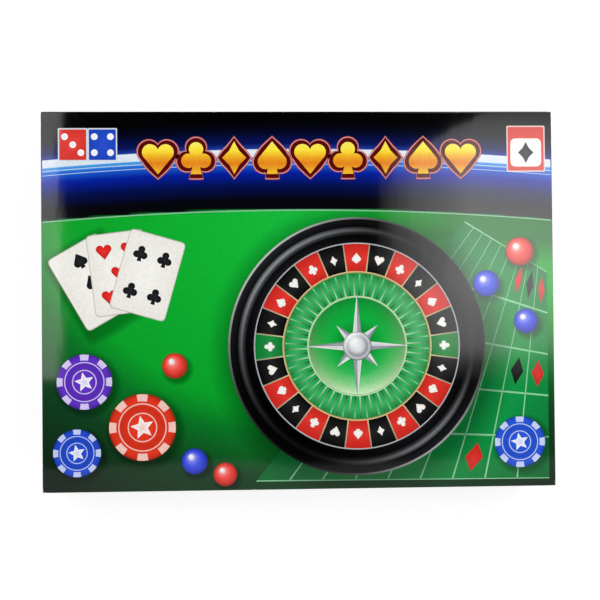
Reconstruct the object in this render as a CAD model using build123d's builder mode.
from build123d import *
from math import pi, sin
import os

# Roulette set in a telescoping set-up box: a lid over a base, both of wrapped greyboard, and inside
# them a formed tray with the wheel, chips, balls, rake and notes. Millimetres. The box lies flat
# with its underside at z = 0 and its middle on the Z axis: X along its length, Y up its printed face.

# ---- Box, whose outside follows from the tray and the turret inside it ----
LID_SKIRT = 45.0          # height of the lid's side
HEADROOM = 8.0            # from the turret's tip to the lid's inside
BOARD = 1.5               # greyboard
PAPER = 0.25              # printed wrap
TURN_IN = 15.0            # wrap turned in over a rim, or under the base
STAY_PAPER = 0.15         # tape over each corner of the board
STAY_REACH = 12.0         # how far a tape reaches from its corner
LID_FIT = 0.5             # between the lid's mouth and the base's side
LID_SEAT = 0.3            # between the base's rim and the lid's inside

# ---- Papers on the floor of the base ----
MAT_LENGTH = 235.0        # betting mat, folded in four
MAT_WIDTH = 160.0
MAT_SHEET = 0.45
MAT_LAYERS = 4
LEAFLET_LENGTH = 148.0    # rules, folded once
LEAFLET_WIDTH = 105.0
LEAFLET_SHEET = 0.15
LEAFLET_LAYERS = 2
PAPERS_FIT = 0.3          # between the leaflet and the tray over it

# ---- Formed tray ----
TRAY_SHEET = 0.6
TRAY_FIT = 0.6            # between the tray's skirt and the base's inside
TRAY_CORNER = 6.0
DECK_LAND = 3.5           # deck between two wells, or between a well and the tray's edge
WHEEL_LAND = 6.4          # deck beside the wheel's well, along the box's long sides
SIDE_LAND = 6.1           # deck between the wheel's well and the first chip's well
WELL_CORNER = 2.0
WELL_FIT = 1.0            # round a flat-sided thing in its well
WHEEL_SEAT = 23.0         # depth of the wheel's well

# ---- Wheel bowl ----
WHEEL_RADIUS = 87.0
BOWL_HEIGHT = 30.0
BOWL_WALL = 2.0
WHEEL_FIT = 1.0           # round the bowl in its well
FOOT_STEP = 6.0           # foot ring's radius is this much less than the rim's
FOOT_RISE = 12.0          # height of the leaning part of the side
BAND_HEIGHT = 8.0         # height of the upright part of the side
CREST_WIDTH = 6.0         # from the side to the top of the rim
CREST_BULGE = 11.5        # radius of the rim's rounding
TRACK_RADIUS = 68.0       # foot of the steep inner side, where the ball runs
TRACK_HEIGHT = 18.0
LIP_HEIGHT = 12.0         # inner edge of the slope, beside the rotor
BOWL_FLOOR = 4.0
BOSS_RADIUS = 6.0
BOSS_HEIGHT = 7.0
TRIM_HEIGHT = 5.0
TRIM_SHEET = 1.0
TRIM_SUNK = 0.8           # depth of the trim's groove

# ---- Rotor ----
ROTOR_RADIUS = 52.0
ROTOR_GAP = 0.8           # between the rotor and the bowl
ROTOR_SHEET = 1.5
NUMBER_WIDTH = 9.0        # radial width of the ring of numbers
NUMBER_SHEET = 0.3
POCKET_WIDTH = 10.0       # radial width of the pockets
POCKETS = 37
POCKET_FLOOR = 8.0        # above the bowl's foot
POCKET_DEPTH = 3.0        # from the ring of numbers down
FRET = 0.8
FRET_RISE = 0.5           # frets stand above the ring of numbers
DISH_DROP = 2.0
DISH_FLAT = 13.0          # radius of the dish's flat middle
WASHER = 0.5
PIN_RADIUS = 1.5
PIN_FIT = 0.05            # running clearance round the pin
PIN_HEAD = 1.2
PIN_TOP = 20.0
BUSH_WALL = 1.4
HUB_WALL = 2.6
HUB_TOP = 14.0
HUB_FIT = 0.1             # between the hub and the turret over it

# ---- Turret ----
TURRET_FOOT = 9.0         # radius
TURRET_HEIGHT = 24.0
FOOT_PLATE = 2.9          # height of the foot's upright edge
SHOULDER = 8.2            # height of the skirt over the hub
SHOULDER_WALL = 1.0
WAIST_RADIUS = 4.0
WAIST_TAPER = 2.9         # height over which the shoulder narrows to the waist
KNOT_RADIUS = 6.0         # the knot that carries the arms
KNOT_HEIGHT = 3.4
COLLAR_RADIUS = 5.0
COLLAR_HEIGHT = 1.4
TURRET_BEVEL = 1.2
CAP_HEIGHT = 9.0
CAP_CONE = 5.5
CAP_NECK = 1.4
CAP_BALL = 2.4
ARM_HEIGHT = 16.8         # above the dish's middle
ARM_RADIUS = 1.3
ARM_REACH = 20.0
ARM_KNOB = 3.0
ARM_COUNT = 4

# ---- Balls, chips, notes and rake ----
BALL_RADIUS = 2.5
REST_FIT = 0.1            # under a loose piece at rest
MARKER_RADIUS = 6.0
MARKER_FIT = 0.5          # round a marker ball in its cup
MARKER_CUP = 6.5
MARKER_ROW = 20.0         # pitch of the cups up the tray
CHIP_RADIUS = 12.5
CHIP_SHEET = 2.0
CHIP_COUNT = 10
CHIP_EDGE = 0.3
CHIP_FIT = 0.75
CHIP_SUNK = 0.4           # a full stack's top below the deck
NOTE_LENGTH = 66.0
NOTE_WIDTH = 26.0
NOTE_STACK = 6.0
NOTE_SUNK = 1.4
BAND_WIDTH = 14.0
BAND_PAPER = 0.2
HANDLE_RADIUS = 3.0
HANDLE_LENGTH = 138.0
HANDLE_STUB = 5.0
STUB_RADIUS = 2.0
STUB_FIT = 0.05
TIP_LENGTH = 12.0
TIP_SWELL = 0.4
TIP_ROUND = 1.2
HEAD_WIDTH = 60.0
HEAD_BAR = 7.0
HEAD_ARM = 8.0
HEAD_HEIGHT = 9.0
HEAD_ROUND = 1.0
RAKE_SUNK = 0.6           # rake head's top below the deck

# ---- Sizes that follow: wells, and the tray round them ----
wheel_well = WHEEL_RADIUS + WHEEL_FIT
chip_well = CHIP_RADIUS + CHIP_FIT
marker_well = MARKER_RADIUS + MARKER_FIT
note_well_width = NOTE_WIDTH + 2 * BAND_PAPER + 2 * WELL_FIT
note_well_length = NOTE_LENGTH + 2 * WELL_FIT
handle_well_width = 2 * (HANDLE_RADIUS + TIP_SWELL + WELL_FIT)
head_well_width = HEAD_WIDTH + 2 * WELL_FIT
head_well_depth = HEAD_BAR + HEAD_ARM + 2 * WELL_FIT
tray_length = (DECK_LAND + 2 * wheel_well + SIDE_LAND + 2 * chip_well + DECK_LAND
               + handle_well_width + DECK_LAND + note_well_width + DECK_LAND)
tray_width = 2 * (wheel_well + WHEEL_LAND)

# ---- Sizes that follow: box, from the inside out ----
base_mouth_length = tray_length + 2 * TRAY_FIT
base_mouth_width = tray_width + 2 * TRAY_FIT
base_room_length = base_mouth_length + 2 * PAPER
base_room_width = base_mouth_width + 2 * PAPER
base_board_length = base_room_length + 2 * BOARD
base_board_width = base_room_width + 2 * BOARD
base_length = base_board_length + 2 * PAPER
base_width = base_board_width + 2 * PAPER

lid_mouth_length = base_length + 2 * LID_FIT
lid_mouth_width = base_width + 2 * LID_FIT
lid_room_length = lid_mouth_length + 2 * PAPER
lid_room_width = lid_mouth_width + 2 * PAPER
lid_board_length = lid_room_length + 2 * BOARD
lid_board_width = lid_room_width + 2 * BOARD
box_length = lid_board_length + 2 * PAPER
box_width = lid_board_width + 2 * PAPER

# ---- Sizes that follow: papers and tray, as heights above the underside of the box ----
floor_top = PAPER + BOARD
mat_top = floor_top + MAT_LAYERS * MAT_SHEET
leaflet_top = mat_top + LEAFLET_LAYERS * LEAFLET_SHEET
bowl_base = leaflet_top + PAPERS_FIT + TRAY_SHEET
tray_top = bowl_base + WHEEL_SEAT

# ---- Sizes that follow: places on the tray ----
wheel_x = -tray_length / 2 + DECK_LAND + wheel_well
note_x = tray_length / 2 - DECK_LAND - note_well_width / 2
rake_x = note_x - note_well_width / 2 - DECK_LAND - handle_well_width / 2
chip_x = rake_x - handle_well_width / 2 - DECK_LAND - chip_well
head_well_y = -tray_width / 2 + DECK_LAND + head_well_depth / 2
column_y = head_well_y + head_well_depth / 2 + DECK_LAND

chip_pitch = 2 * chip_well + DECK_LAND
chip_places = {
    name: (chip_x, column_y + chip_well + row * chip_pitch)
    for row, name in enumerate(["purple", "red", "blue"])
}
marker_y = column_y + len(chip_places) * chip_pitch + marker_well
marker_pitch = 2 * marker_well + DECK_LAND / 2
marker_places = [
    (chip_x + side * marker_pitch / 2, marker_y + row * MARKER_ROW)
    for row in range(3) for side in (-1, 1)
]
note_pitch = note_well_length + DECK_LAND
note_places = [(note_x, column_y + note_well_length / 2 + row * note_pitch) for row in range(2)]

chip_floor = tray_top - CHIP_SUNK - CHIP_COUNT * CHIP_SHEET - REST_FIT
marker_floor = tray_top - MARKER_CUP
note_floor = tray_top - NOTE_SUNK - NOTE_STACK - 2 * BAND_PAPER - REST_FIT
note_bottom = note_floor + REST_FIT + BAND_PAPER
rake_floor = tray_top - RAKE_SUNK - HEAD_HEIGHT - REST_FIT
handle_z = rake_floor + REST_FIT + TIP_SWELL + HANDLE_RADIUS
head_back_y = head_well_y + head_well_depth / 2 - WELL_FIT
handle_end_y = head_back_y + HANDLE_LENGTH
handle_well_end_y = handle_end_y + TIP_LENGTH + WELL_FIT

# ---- Sizes that follow: wheel, as heights above the underside of the box ----
rotor_well = ROTOR_RADIUS + ROTOR_GAP
bowl_top = bowl_base + BOWL_HEIGHT
crest_radius = WHEEL_RADIUS - CREST_WIDTH
trim_bottom = bowl_base + FOOT_RISE + (BAND_HEIGHT - TRIM_HEIGHT) / 2
boss_top = bowl_base + BOSS_HEIGHT
hub_bottom = boss_top + WASHER
pocket_floor = bowl_base + POCKET_FLOOR
number_top = pocket_floor + POCKET_DEPTH
number_seat = number_top - NUMBER_SHEET
fret_top = number_top + FRET_RISE
pocket_outer = ROTOR_RADIUS - NUMBER_WIDTH
pocket_inner = pocket_outer - POCKET_WIDTH
dish_top = fret_top
dish_middle = dish_top - DISH_DROP
bush_bore = PIN_RADIUS + PIN_FIT
bush_radius = bush_bore + BUSH_WALL
hub_radius = bush_radius + HUB_WALL
hub_top = bowl_base + HUB_TOP
turret_top = dish_middle + TURRET_HEIGHT
arm_z = dish_middle + ARM_HEIGHT
ball_ring = (pocket_outer + pocket_inner) / 2
ball_z = pocket_floor + REST_FIT + BALL_RADIUS

lid_inside = turret_top + CAP_HEIGHT + HEADROOM
box_height = lid_inside + BOARD + PAPER
lid_bottom = box_height - LID_SKIRT
base_height = lid_inside - LID_SEAT

wheel_axis = Axis((wheel_x, 0, 0), (0, 0, 1))
wheel_section = Plane(origin=(wheel_x, 0, 0), x_dir=(1, 0, 0), z_dir=(0, -1, 0))

os.makedirs("parts", exist_ok=True)


def save(name, piece):
    """Label a finished piece and write it as its own STEP file."""
    piece.part.label = name
    export_step(piece.part, f"parts/{name}.step")


def level(height):
    """Horizontal plane at a height above the underside of the box."""
    return Plane.XY.offset(height)


def ring(outer, inner, bottom, height):
    """Flat ring round the wheel's axis."""
    with BuildPart() as piece:
        with BuildSketch(Plane(origin=(wheel_x, 0, bottom))):
            Circle(outer)
            Circle(inner, mode=Mode.SUBTRACT)
        extrude(amount=height)
    return piece


def corner_stays(length, width, bottom, height):
    """Four angles of paper tape, let into the outside of a board tray's corners."""
    with BuildPart() as piece:
        with BuildSketch(level(bottom)):
            Rectangle(length, width)
            Rectangle(length - 2 * STAY_PAPER, width - 2 * STAY_PAPER, mode=Mode.SUBTRACT)
            Rectangle(length - 2 * STAY_REACH, width, mode=Mode.SUBTRACT)
            Rectangle(length, width - 2 * STAY_REACH, mode=Mode.SUBTRACT)
        extrude(amount=height)
    return piece


def board_tray(name, length, width, panel_bottom, walls_bottom, walls_height, stays):
    """Scored board blank folded to a tray, less its corner tapes: the panel and four flaps, each a solid."""
    plates = [Pos(0, 0, panel_bottom + BOARD / 2) * Box(length, width, BOARD)]
    for side in (-1, 1):
        middle = walls_bottom + walls_height / 2
        plates.append(Pos(0, side * (width - BOARD) / 2, middle) * Box(length, BOARD, walls_height))
        plates.append(Pos(side * (length - BOARD) / 2, 0, middle) *
                      Box(BOARD, width - 2 * BOARD, walls_height))
    tray = Compound(children=[plate - stays.part for plate in plates], label=name)
    export_step(tray, f"parts/{name}.step")


# ---- Lid ----
lid_board_height = LID_SKIRT - 2 * PAPER
lid_corner_stays = corner_stays(lid_board_length, lid_board_width, lid_bottom + PAPER, lid_board_height)
save("lid_corner_stays", lid_corner_stays)

board_tray("lid_board", lid_board_length, lid_board_width, lid_inside, lid_bottom + PAPER,
           lid_board_height - BOARD, lid_corner_stays)

with BuildPart() as lid_wrap:
    with BuildSketch(level(lid_bottom)):
        Rectangle(box_length, box_width)
    extrude(amount=LID_SKIRT)
    with BuildSketch(level(lid_bottom + PAPER)):
        Rectangle(lid_board_length, lid_board_width)
    extrude(amount=lid_board_height, mode=Mode.SUBTRACT)
    with BuildSketch(level(lid_bottom)):
        Rectangle(lid_room_length, lid_room_width)
    extrude(amount=TURN_IN)
    with BuildSketch(level(lid_bottom)):
        Rectangle(lid_mouth_length, lid_mouth_width)
    extrude(amount=TURN_IN, mode=Mode.SUBTRACT)
save("lid_wrap", lid_wrap)

# ---- Base ----
base_board_height = base_height - 2 * PAPER
base_corner_stays = corner_stays(base_board_length, base_board_width, PAPER, base_board_height)
save("base_corner_stays", base_corner_stays)

board_tray("base_board", base_board_length, base_board_width, PAPER, floor_top,
           base_board_height - BOARD, base_corner_stays)

with BuildPart() as base_wrap:
    with BuildSketch(level(0)):
        Rectangle(base_length, base_width)
    extrude(amount=base_height)
    with BuildSketch(level(PAPER)):
        Rectangle(base_board_length, base_board_width)
    extrude(amount=base_board_height, mode=Mode.SUBTRACT)
    with BuildSketch(level(0)):
        Rectangle(base_board_length - 2 * TURN_IN, base_board_width - 2 * TURN_IN)
    extrude(amount=PAPER, mode=Mode.SUBTRACT)
    with BuildSketch(level(base_height - TURN_IN)):
        Rectangle(base_room_length, base_room_width)
    extrude(amount=TURN_IN)
    with BuildSketch(level(base_height - TURN_IN)):
        Rectangle(base_mouth_length, base_mouth_width)
    extrude(amount=TURN_IN, mode=Mode.SUBTRACT)
save("base_wrap", base_wrap)

with BuildPart() as base_bottom_sheet:
    with BuildSketch(level(0)):
        Rectangle(base_board_length - 2 * TURN_IN, base_board_width - 2 * TURN_IN)
    extrude(amount=PAPER)
save("base_bottom_sheet", base_bottom_sheet)

# ---- Papers ----
with BuildPart() as layout_mat:
    with BuildSketch(level(floor_top)):
        Rectangle(MAT_LENGTH, MAT_WIDTH)
    extrude(amount=MAT_LAYERS * MAT_SHEET)
save("layout_mat", layout_mat)

with BuildPart() as rules_leaflet:
    with BuildSketch(level(mat_top)):
        Rectangle(LEAFLET_LENGTH, LEAFLET_WIDTH)
    extrude(amount=LEAFLET_LAYERS * LEAFLET_SHEET)
save("rules_leaflet", rules_leaflet)

# ---- Formed tray ----
round_wells = [((wheel_x, 0), wheel_well, bowl_base)]
round_wells += [(place, chip_well, chip_floor) for place in chip_places.values()]
round_wells += [(place, marker_well, marker_floor) for place in marker_places]
flat_wells = [(place, note_well_width, note_well_length, note_floor) for place in note_places]
flat_wells += [((rake_x, head_well_y), head_well_width, head_well_depth, rake_floor)]
handle_well_length = handle_well_end_y - head_well_y
flat_wells += [((rake_x, head_well_y + handle_well_length / 2), handle_well_width,
                handle_well_length, rake_floor)]


def well_blocks(skin):
    """Every well as a solid block, grown by the thickness of a skin round and under it."""
    with BuildPart() as blocks:
        for place, radius, floor in round_wells:
            with BuildSketch(level(floor - skin)):
                with Locations(place):
                    Circle(radius + skin)
            extrude(amount=tray_top - floor + skin)
        for place, width, length, floor in flat_wells:
            with BuildSketch(level(floor - skin)):
                with Locations(place):
                    RectangleRounded(width + 2 * skin, length + 2 * skin, WELL_CORNER + skin)
            extrude(amount=tray_top - floor + skin)
    return blocks


with BuildPart() as inner_tray:
    with BuildSketch(level(floor_top)):
        RectangleRounded(tray_length, tray_width, TRAY_CORNER)
    extrude(amount=tray_top - floor_top)
    with BuildSketch(level(floor_top)):
        RectangleRounded(tray_length - 2 * TRAY_SHEET, tray_width - 2 * TRAY_SHEET,
                         TRAY_CORNER - TRAY_SHEET)
    extrude(amount=tray_top - TRAY_SHEET - floor_top, mode=Mode.SUBTRACT)
    add(well_blocks(TRAY_SHEET).part)
    add(well_blocks(0).part, mode=Mode.SUBTRACT)
save("inner_tray", inner_tray)

# ---- Wheel bowl ----
foot_radius = WHEEL_RADIUS - FOOT_STEP
band_bottom = bowl_base + FOOT_RISE
band_top = band_bottom + BAND_HEIGHT
track_z = bowl_base + TRACK_HEIGHT
lip_z = bowl_base + LIP_HEIGHT
bowl_floor_z = bowl_base + BOWL_FLOOR

with BuildPart() as wheel_bowl:
    with BuildSketch(wheel_section):
        with BuildLine():
            Polyline((PIN_RADIUS, bowl_floor_z - BOWL_WALL), (PIN_RADIUS, boss_top),
                     (BOSS_RADIUS, boss_top), (BOSS_RADIUS, bowl_floor_z),
                     (rotor_well, bowl_floor_z), (rotor_well, lip_z), (TRACK_RADIUS, track_z),
                     (crest_radius, bowl_top))
            RadiusArc((crest_radius, bowl_top), (WHEEL_RADIUS, band_top), CREST_BULGE)
            Polyline((WHEEL_RADIUS, band_top), (WHEEL_RADIUS, band_bottom),
                     (foot_radius, bowl_base), (foot_radius - BOWL_WALL, bowl_base),
                     (WHEEL_RADIUS - BOWL_WALL, band_bottom), (WHEEL_RADIUS - BOWL_WALL, band_top))
            RadiusArc((WHEEL_RADIUS - BOWL_WALL, band_top),
                      (crest_radius, bowl_top - BOWL_WALL), BOWL_WALL - CREST_BULGE)
            Polyline((crest_radius, bowl_top - BOWL_WALL),
                     (TRACK_RADIUS + BOWL_WALL / 2, track_z - BOWL_WALL),
                     (rotor_well + BOWL_WALL, lip_z - BOWL_WALL),
                     (rotor_well + BOWL_WALL, bowl_floor_z - BOWL_WALL),
                     (PIN_RADIUS, bowl_floor_z - BOWL_WALL))
        make_face()
    revolve(axis=wheel_axis)
    with BuildSketch(Plane(origin=(wheel_x, 0, trim_bottom))):
        Circle(WHEEL_RADIUS)
        Circle(WHEEL_RADIUS - TRIM_SUNK, mode=Mode.SUBTRACT)
    extrude(amount=TRIM_HEIGHT, mode=Mode.SUBTRACT)
save("wheel_bowl", wheel_bowl)

trim_inner = WHEEL_RADIUS - TRIM_SUNK
wheel_trim_ring = ring(trim_inner + TRIM_SHEET, trim_inner, trim_bottom, TRIM_HEIGHT)
save("wheel_trim_ring", wheel_trim_ring)

with BuildPart() as spindle_pin:
    with BuildSketch(Plane(origin=(wheel_x, 0, bowl_floor_z - BOWL_WALL - PIN_HEAD))):
        Circle(2 * PIN_RADIUS)
    extrude(amount=PIN_HEAD)
    with BuildSketch(Plane(origin=(wheel_x, 0, bowl_floor_z - BOWL_WALL))):
        Circle(PIN_RADIUS)
    extrude(amount=bowl_base + PIN_TOP - bowl_floor_z + BOWL_WALL)
    chamfer(spindle_pin.edges().sort_by(Axis.Z)[-1], PIN_RADIUS / 4)
save("spindle_pin", spindle_pin)

thrust_washer = ring(hub_radius - HUB_WALL / 2, bush_bore, boss_top, WASHER - PIN_FIT)
save("thrust_washer", thrust_washer)

# ---- Rotor ----
with BuildPart() as rotor_disc:
    with BuildSketch(wheel_section):
        with BuildLine():
            Polyline((bush_radius, hub_bottom), (bush_radius, hub_top), (hub_radius, hub_top),
                     (hub_radius, pocket_floor), (pocket_outer, pocket_floor),
                     (pocket_outer, number_seat), (ROTOR_RADIUS, number_seat),
                     (ROTOR_RADIUS, hub_bottom - ROTOR_SHEET),
                     (ROTOR_RADIUS - ROTOR_SHEET, hub_bottom - ROTOR_SHEET),
                     (ROTOR_RADIUS - ROTOR_SHEET, number_seat - ROTOR_SHEET),
                     (pocket_outer + ROTOR_SHEET, number_seat - ROTOR_SHEET),
                     (pocket_outer + ROTOR_SHEET, pocket_floor - ROTOR_SHEET),
                     (hub_radius + ROTOR_SHEET, pocket_floor - ROTOR_SHEET),
                     (hub_radius + ROTOR_SHEET, hub_bottom), (bush_radius, hub_bottom))
        make_face()
    revolve(axis=wheel_axis)
save("rotor_disc", rotor_disc)

rotor_bush = ring(bush_radius, bush_bore, hub_bottom, hub_top - hub_bottom)
save("rotor_bush", rotor_bush)

number_ring = ring(ROTOR_RADIUS, pocket_outer, number_seat, NUMBER_SHEET)
save("number_ring", number_ring)

fret_height = fret_top - pocket_floor
with BuildPart() as fret_ring:
    with BuildSketch(Plane(origin=(wheel_x, 0, pocket_floor))):
        Circle(pocket_outer)
        Circle(pocket_outer - FRET, mode=Mode.SUBTRACT)
        Circle(pocket_inner + FRET)
        Circle(pocket_inner, mode=Mode.SUBTRACT)
        with PolarLocations(ball_ring, POCKETS):
            Rectangle(POCKET_WIDTH - FRET, FRET)
    extrude(amount=fret_height)
save("fret_ring", fret_ring)

with BuildPart() as rotor_dish:
    with BuildSketch(wheel_section):
        with BuildLine():
            Polyline((hub_radius, pocket_floor), (hub_radius, dish_middle), (DISH_FLAT, dish_middle))
            RadiusArc((DISH_FLAT, dish_middle), (pocket_inner, dish_top), -4 * (pocket_inner - DISH_FLAT))
            Polyline((pocket_inner, dish_top), (pocket_inner, pocket_floor), (hub_radius, pocket_floor))
        make_face()
    revolve(axis=wheel_axis)
save("rotor_dish", rotor_dish)

# ---- Turret ----
hub_room = hub_radius + HUB_FIT
turret_section = [
    (0, 0), (TURRET_FOOT, 0), (TURRET_FOOT, FOOT_PLATE), (hub_room + SHOULDER_WALL, SHOULDER),
    (WAIST_RADIUS, SHOULDER + WAIST_TAPER),
    (WAIST_RADIUS, ARM_HEIGHT - KNOT_HEIGHT / 2 - TURRET_BEVEL),
    (KNOT_RADIUS, ARM_HEIGHT - KNOT_HEIGHT / 2), (KNOT_RADIUS, ARM_HEIGHT + KNOT_HEIGHT / 2),
    (WAIST_RADIUS, ARM_HEIGHT + KNOT_HEIGHT / 2 + TURRET_BEVEL),
    (WAIST_RADIUS, TURRET_HEIGHT - COLLAR_HEIGHT - TURRET_BEVEL),
    (COLLAR_RADIUS, TURRET_HEIGHT - COLLAR_HEIGHT), (COLLAR_RADIUS, TURRET_HEIGHT),
    (0, TURRET_HEIGHT),
]
with BuildPart() as turret_column:
    with BuildSketch(wheel_section):
        with BuildLine():
            Polyline(*[(radius, dish_middle + height) for radius, height in turret_section], close=True)
        make_face()
    revolve(axis=wheel_axis)
    with BuildSketch(Plane(origin=(wheel_x, 0, dish_middle))):
        Circle(hub_room)
    extrude(amount=hub_top + HUB_FIT - dish_middle, mode=Mode.SUBTRACT)
    with BuildSketch(Plane(origin=(wheel_x, 0, dish_middle))):
        Circle(PIN_RADIUS + 2 * PIN_FIT)
    extrude(amount=bowl_base + PIN_TOP + HUB_FIT - dish_middle, mode=Mode.SUBTRACT)
save("turret_column", turret_column)

with BuildPart() as turret_arms:
    for turn in range(ARM_COUNT):
        out = Vector(1, 0, 0).rotate(Axis.Z, turn * 360 / ARM_COUNT + 45)
        root = Vector(wheel_x, 0, arm_z) + out * KNOT_RADIUS
        with BuildSketch(Plane(origin=root, z_dir=out)):
            Circle(ARM_RADIUS)
        extrude(amount=ARM_REACH - KNOT_RADIUS)
        with Locations(Vector(wheel_x, 0, arm_z) + out * ARM_REACH):
            Sphere(ARM_KNOB)
save("turret_arms", turret_arms)

with BuildPart() as turret_cap:
    with Locations((wheel_x, 0, turret_top)):
        Cone(COLLAR_RADIUS, CAP_NECK, CAP_CONE, align=(Align.CENTER, Align.CENTER, Align.MIN))
    with Locations((wheel_x, 0, turret_top + CAP_HEIGHT - CAP_BALL)):
        Sphere(CAP_BALL)
save("turret_cap", turret_cap)

# ---- Balls ----
with BuildPart() as ball_white:
    with Locations((wheel_x - ball_ring, 0, ball_z)):
        Sphere(BALL_RADIUS)
save("ball_white", ball_white)

marker_z = marker_floor + REST_FIT + MARKER_RADIUS
for name, places in {"red": marker_places[4:], "blue": marker_places[:4]}.items():
    with BuildPart() as marker_balls:
        with Locations(*[(x, y, marker_z) for x, y in places]):
            Sphere(MARKER_RADIUS)
    save(f"marker_balls_{name}", marker_balls)

# ---- Chips ----
with BuildPart() as chip:
    Cylinder(CHIP_RADIUS, CHIP_SHEET, align=(Align.CENTER, Align.CENTER, Align.MIN))
    chamfer(chip.edges(), CHIP_EDGE)

for name, (x, y) in chip_places.items():
    stack = [Pos(x, y, chip_floor + REST_FIT + k * CHIP_SHEET) * chip.part for k in range(CHIP_COUNT)]
    chips = Compound(children=stack, label=f"chips_{name}")
    export_step(chips, f"parts/chips_{name}.step")

# ---- Notes ----
for name, (x, y) in zip(["low", "high"], note_places):
    with BuildPart() as notes:
        with BuildSketch(level(note_bottom)):
            with Locations((x, y)):
                Rectangle(NOTE_WIDTH, NOTE_LENGTH)
        extrude(amount=NOTE_STACK)
    save(f"notes_{name}", notes)

    middle = (x, y + BAND_WIDTH / 2, note_bottom + NOTE_STACK / 2)
    with BuildPart() as note_band:
        with BuildSketch(Plane(origin=middle, x_dir=(1, 0, 0), z_dir=(0, -1, 0))):
            Rectangle(NOTE_WIDTH + 2 * BAND_PAPER, NOTE_STACK + 2 * BAND_PAPER)
            Rectangle(NOTE_WIDTH, NOTE_STACK, mode=Mode.SUBTRACT)
        extrude(amount=BAND_WIDTH)
    save(f"note_band_{name}", note_band)

# ---- Rake ----
bar_y = head_back_y - HEAD_BAR / 2
along = Plane(origin=(rake_x, head_back_y - HANDLE_STUB, handle_z), x_dir=(1, 0, 0), z_dir=(0, 1, 0))

with BuildPart() as rake_head:
    with BuildSketch(level(rake_floor + REST_FIT)):
        with Locations((rake_x, bar_y)):
            Rectangle(HEAD_WIDTH, HEAD_BAR)
        arm_y = bar_y - HEAD_BAR / 2 - HEAD_ARM / 2
        arm_step = HEAD_WIDTH / 2 - HEAD_BAR / 2
        with Locations((rake_x - arm_step, arm_y), (rake_x + arm_step, arm_y)):
            Rectangle(HEAD_BAR, HEAD_ARM)
    extrude(amount=HEAD_HEIGHT)
    fillet(rake_head.edges().group_by(Axis.Z)[-1], HEAD_ROUND)
    with BuildSketch(along):
        Circle(STUB_RADIUS + STUB_FIT)
    extrude(amount=HANDLE_STUB, mode=Mode.SUBTRACT)
save("rake_head", rake_head)

with BuildPart() as rake_handle:
    with BuildSketch(along):
        Circle(STUB_RADIUS)
    extrude(amount=HANDLE_STUB)
    with BuildSketch(along.offset(HANDLE_STUB)):
        Circle(HANDLE_RADIUS)
    extrude(amount=HANDLE_LENGTH)
save("rake_handle", rake_handle)

with BuildPart() as rake_tip:
    with BuildSketch(along.offset(HANDLE_STUB + HANDLE_LENGTH)):
        Circle(HANDLE_RADIUS + TIP_SWELL)
    extrude(amount=TIP_LENGTH)
    fillet(rake_tip.edges().sort_by(Axis.Y)[-1], TIP_ROUND)
save("rake_tip", rake_tip)

pocket_mouth = 2 * ball_ring * sin(pi / POCKETS) - FRET
print(f"pocket {pocket_mouth:.2f} wide for a ball {2 * BALL_RADIUS:.2f}")
print(f"closed box {box_length:.2f} by {box_width:.2f} by {box_height:.2f}, deck at {tray_top:.2f}")
